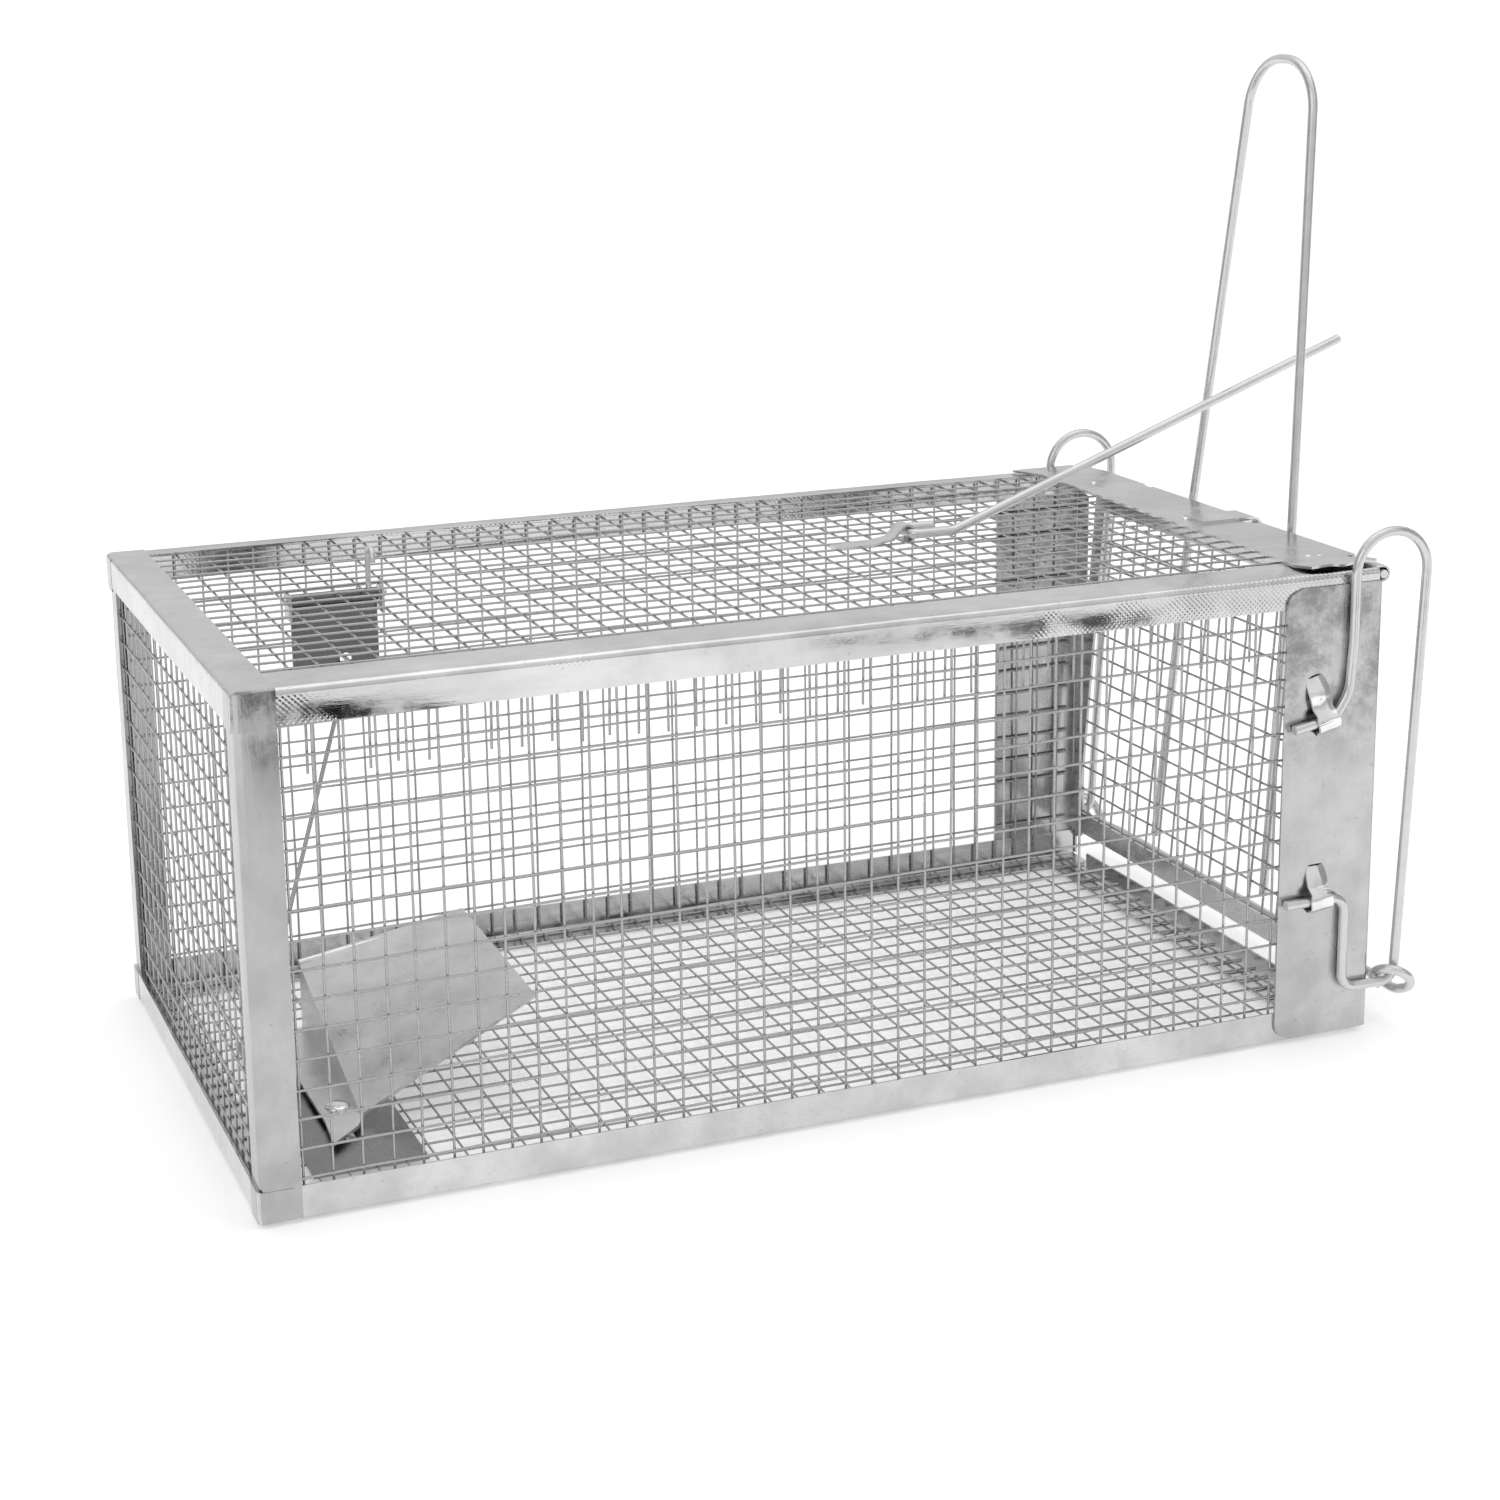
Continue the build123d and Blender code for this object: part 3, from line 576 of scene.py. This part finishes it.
def dome(name, x, y, z, radius, height, mat, body, slot):
    """A low round head: a clinch stud or a rivet."""
    verts, faces = [], []
    rings, around = 6, 20
    for i in range(rings):
        share = i / rings
        for k in range(around):
            turn = 2 * math.pi * k / around
            r = radius * (1 - share ** 2) ** 0.5 if i else radius
            verts.append((x + r * math.cos(turn), y + r * math.sin(turn), z + height * share))
    verts.append((x, y, z + height))
    for i in range(rings - 1):
        for k in range(around):
            a, b = i * around + k, i * around + (k + 1) % around
            faces.append((a, b, b + around, a + around))
    last = (rings - 1) * around
    faces += [(last + k, last + (k + 1) % around, rings * around) for k in range(around)]
    faces.append(tuple(range(around - 1, -1, -1)))
    mesh_object(name, verts, faces, mat, body, slot, sharp=60)


# The clinch studs are drawn in the brighter sheet, a painted highlight.
for k, (x, y) in enumerate(((119.3, -6.6), (121.6, -7.4), (121.8, -57.0), (124.2, -58.0), (121.5, 44.0))):
    dome(f"clinch_stud_{k}", x, y, HEIGHT + SHEET - 0.02, 1.0, 0.5, HIGHLIGHT_PAINTED, "cage", "sheet")

CURL_RADIUS = 2.02
for side, name in ((-1, "front"), (1, "back")):
    curl = [(HINGE_X - 3.0, HINGE_Z + CURL_RADIUS)]
    for k in range(15):
        turn = math.radians(90 - k * 20)
        curl.append((HINGE_X + CURL_RADIUS * math.cos(turn), HINGE_Z + CURL_RADIUS * math.sin(turn)))
    low, high = sorted((side * 59.8, side * 69.9))
    folded(f"{name}_hinge_curl", curl, [0.02] * (len(curl) - 2), -1, along_y, low, high,
           STEEL, "cage", "sheet", thick=0.5, uneven=0.03)

# ---------------------------------------------------------------- rod strap, curled round the cross wire
EYE_X, EYE_Z, EYE_RADIUS = 47.6, HEIGHT + 1.35, 2.35
curl = [(29.0, HEIGHT - 0.5), (38.0, HEIGHT - 0.4), (43.6, HEIGHT + 0.5)]
for k in range(13):
    turn = math.radians(150 - k * 22)
    curl.append((EYE_X + EYE_RADIUS * math.cos(turn), EYE_Z + EYE_RADIUS * math.sin(turn)))
folded("rod_strap_sheet", curl, [0.02] * (len(curl) - 2), -1, along_y, 2.1, 7.0,
       STEEL, "cage", "sheet", "rod_strap", thick=0.5, uneven=0.05, step=1.6)

# ---------------------------------------------------------------- treadle rivet and rolled lip, brightened with painted highlight
dome("treadle_rivet", -104.6, -26.5, 3.75, 2.9, 1.0, HIGHLIGHT_PAINTED, "treadle", "sheet")
lip = [(-101.0, 22.6, 19.9), (-90.0, 22.9, 21.4), (-75.0, 23.0, 23.5), (-60.6, 22.6, 26.0)]
wires("treadle_rolled_lip", [lip], 1.5, HIGHLIGHT_PAINTED, "treadle", "sheet", sides=4)

# ---------------------------------------------------------------- door mesh
tilt_right = Vector((0, 1, 0))
tilt_up = Vector((math.sin(DOOR_TILT), 0, math.cos(DOOR_TILT)))
tilt_out = Vector((math.cos(DOOR_TILT), 0, -math.sin(DOOR_TILT)))
door_origin = Vector((HINGE_X, 0, HINGE_Z)) + tilt_out * 2.62
door_u = [-63.5 + PITCH * i for i in range(21)]
door_v = sorted(-5.0 - PITCH * j for j in range(15))
panel("door_mesh_wires", "door", "door_mesh", door_origin, tilt_right, tilt_up, tilt_out,
      door_u, door_v, (-65.5, 65.5), (-98.5, -3.9))

# ---------------------------------------------------------------- floor, reflection cards, sky and lights
bpy.ops.mesh.primitive_plane_add(size=120, location=(0, 0, -0.0006))
floor = bpy.context.object
floor.name = "studio_floor"
paper, _, paper_shader = new_material("white_paper", 0.90, 0.9, 0.0)
paper_shader.inputs["Emission Color"].default_value = (1, 1, 1, 1)
paper_shader.inputs["Emission Strength"].default_value = 0.30
paint(floor, paper)
floor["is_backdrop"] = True


def flag(name, corners, tone):
    """A card outside the picture that only shows as a reflection."""
    data = bpy.data.meshes.new(name)
    data.from_pydata(corners, [], [(0, 1, 2, 3)])
    obj = bpy.data.objects.new(name, data)
    bpy.context.collection.objects.link(obj)
    mat, _, shader = new_material(name, tone, 0.9, 0.0)
    shader.inputs["Specular IOR Level"].default_value = 0.1
    paint(obj, mat)
    obj.visible_camera = False
    obj.visible_shadow = False
    obj.visible_diffuse = False
    obj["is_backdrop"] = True


def lying(x0, x1, y0, y1):
    level = 0.004
    return [(x0, y0, level), (x1, y0, level), (x1, y1, level), (x0, y1, level)]


def standing(way):
    """A tall card beside the scene, to one side of the camera's line of sight."""
    middle = Vector((0.925, -0.379, 0)) * 1.5 * way
    wide, high = Vector((0.379, 0.925, 0)) * 0.8, Vector((0, 0, 1.6))
    return [tuple(p) for p in (middle - wide, middle + wide, middle + wide + high, middle - wide + high)]


flag("dark_card_left", lying(-0.22, -0.112, -0.75, -0.385), 0.01)
flag("grey_card_right", lying(0.12, 0.24, -0.70, -0.435), 0.12)
flag("side_card_right", standing(1), 0.33)
flag("side_card_left", standing(-1), 0.33)

world = bpy.data.worlds.new("studio")
bpy.context.scene.world = world
world.use_nodes = True
sky = world.node_tree
direction = sky.nodes.new("ShaderNodeTexCoord").outputs["Generated"]
parts = sky.nodes.new("ShaderNodeSeparateXYZ")
sky.links.new(direction, parts.inputs["Vector"])
level = ramp(sky, parts.outputs["Z"], 0.0, 0.28, 0.62, 0.92)
level = math_node(sky, "MULTIPLY", level, ramp(sky, parts.outputs["Z"], 0.5, 0.95, 1.0, 1.2))
sky.links.new(grey(sky, level), sky.nodes["Background"].inputs["Color"])
sky.nodes["Background"].inputs["Strength"].default_value = 0.85


def soft_light(name, place, target, size, power):
    lamp = bpy.data.lights.new(name, "AREA")
    lamp.shape = "RECTANGLE"
    lamp.size, lamp.size_y = size
    lamp.energy = power
    obj = bpy.data.objects.new(name, lamp)
    bpy.context.collection.objects.link(obj)
    obj.location = place
    obj.rotation_euler = (Vector(target) - Vector(place)).to_track_quat("-Z", "Y").to_euler()


soft_light("overhead", (0.1, 0.1, 1.7), (0, 0, 0), (1.6, 1.2), 3)
soft_light("left_front", (-1.3, -0.9, 0.9), (0, 0, 0.06), (0.8, 0.9), 1.5)
soft_light("right_front", (1.3, -1.1, 0.8), (0, 0, 0.06), (0.6, 0.9), 1.5)

# ---------------------------------------------------------------- camera
CAMERA_PLACE = Vector((-0.2309, -0.5873, 0.2492))
YAW, NOD, ROLL = math.radians(67.726), math.radians(-13.335), math.radians(-0.652)
forward = Vector((math.cos(NOD) * math.cos(YAW), math.cos(NOD) * math.sin(YAW), math.sin(NOD)))
level_right = forward.cross(Vector((0, 0, 1))).normalized()
level_up = level_right.cross(forward)
right = level_right * math.cos(ROLL) + level_up * math.sin(ROLL)
upward = level_up * math.cos(ROLL) - level_right * math.sin(ROLL)
camera_data = bpy.data.cameras.new("camera")
camera_data.sensor_width = 36
camera_data.lens = 66.3
camera_data.shift_x = -0.011
camera_data.shift_y = -0.093
camera_data.clip_start, camera_data.clip_end = 0.01, 200
camera_data.dof.use_dof = False
camera = bpy.data.objects.new("camera", camera_data)
bpy.context.collection.objects.link(camera)
turn = Matrix((right, upward, -forward)).transposed().to_4x4()
camera.matrix_world = Matrix.Translation(CAMERA_PLACE + SHIFT * MM) @ turn
bpy.context.scene.camera = camera
bpy.context.scene.view_settings.view_transform = "Standard"

low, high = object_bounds()
